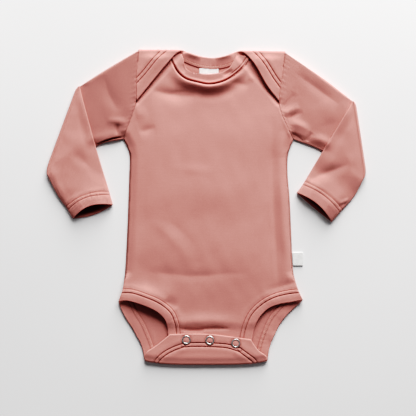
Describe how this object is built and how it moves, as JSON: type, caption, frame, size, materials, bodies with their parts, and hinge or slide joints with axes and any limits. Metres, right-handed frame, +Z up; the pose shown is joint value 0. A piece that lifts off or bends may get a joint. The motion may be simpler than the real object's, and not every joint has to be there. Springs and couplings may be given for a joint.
{
  "type": "baby bodysuit",
  "caption": "Long-sleeved baby bodysuit with lap shoulders and a snapped crotch flap, laid flat with both sleeves folded forward.",
  "frame": {"origin": "middle of the garment's underside, on the surface it lies on", "axes": "+Z up off the surface, +Y from the crotch towards the neck, +X towards the wearer's left sleeve, on the right seen from above"},
  "size_m": [0.3829, 0.3774, 0.0103],
  "materials": {
    "jersey": "matt brushed jersey, dusty rose",
    "hem": "matt brushed jersey, turned and twin stitched",
    "tape": "smooth white woven tape",
    "snap": "nickel plated open ring"
  },
  "bodies": {
    "root": {"back_panel": "jersey", "front_panel": "jersey", "sleeve_left": "jersey", "sleeve_right": "jersey", "cuff_left": "hem", "cuff_right": "hem", "back_neck_hem": "hem", "front_neck_hem": "hem", "leg_hem_front_left": "hem", "leg_hem_front_right": "hem", "leg_hem_back_left": "hem", "leg_hem_back_right": "hem", "crotch_hem": "hem", "snap_ring_1": "snap", "snap_ring_2": "snap", "snap_ring_3": "snap", "neck_label": "tape", "side_label": "tape"}
  },
  "joints": []
}
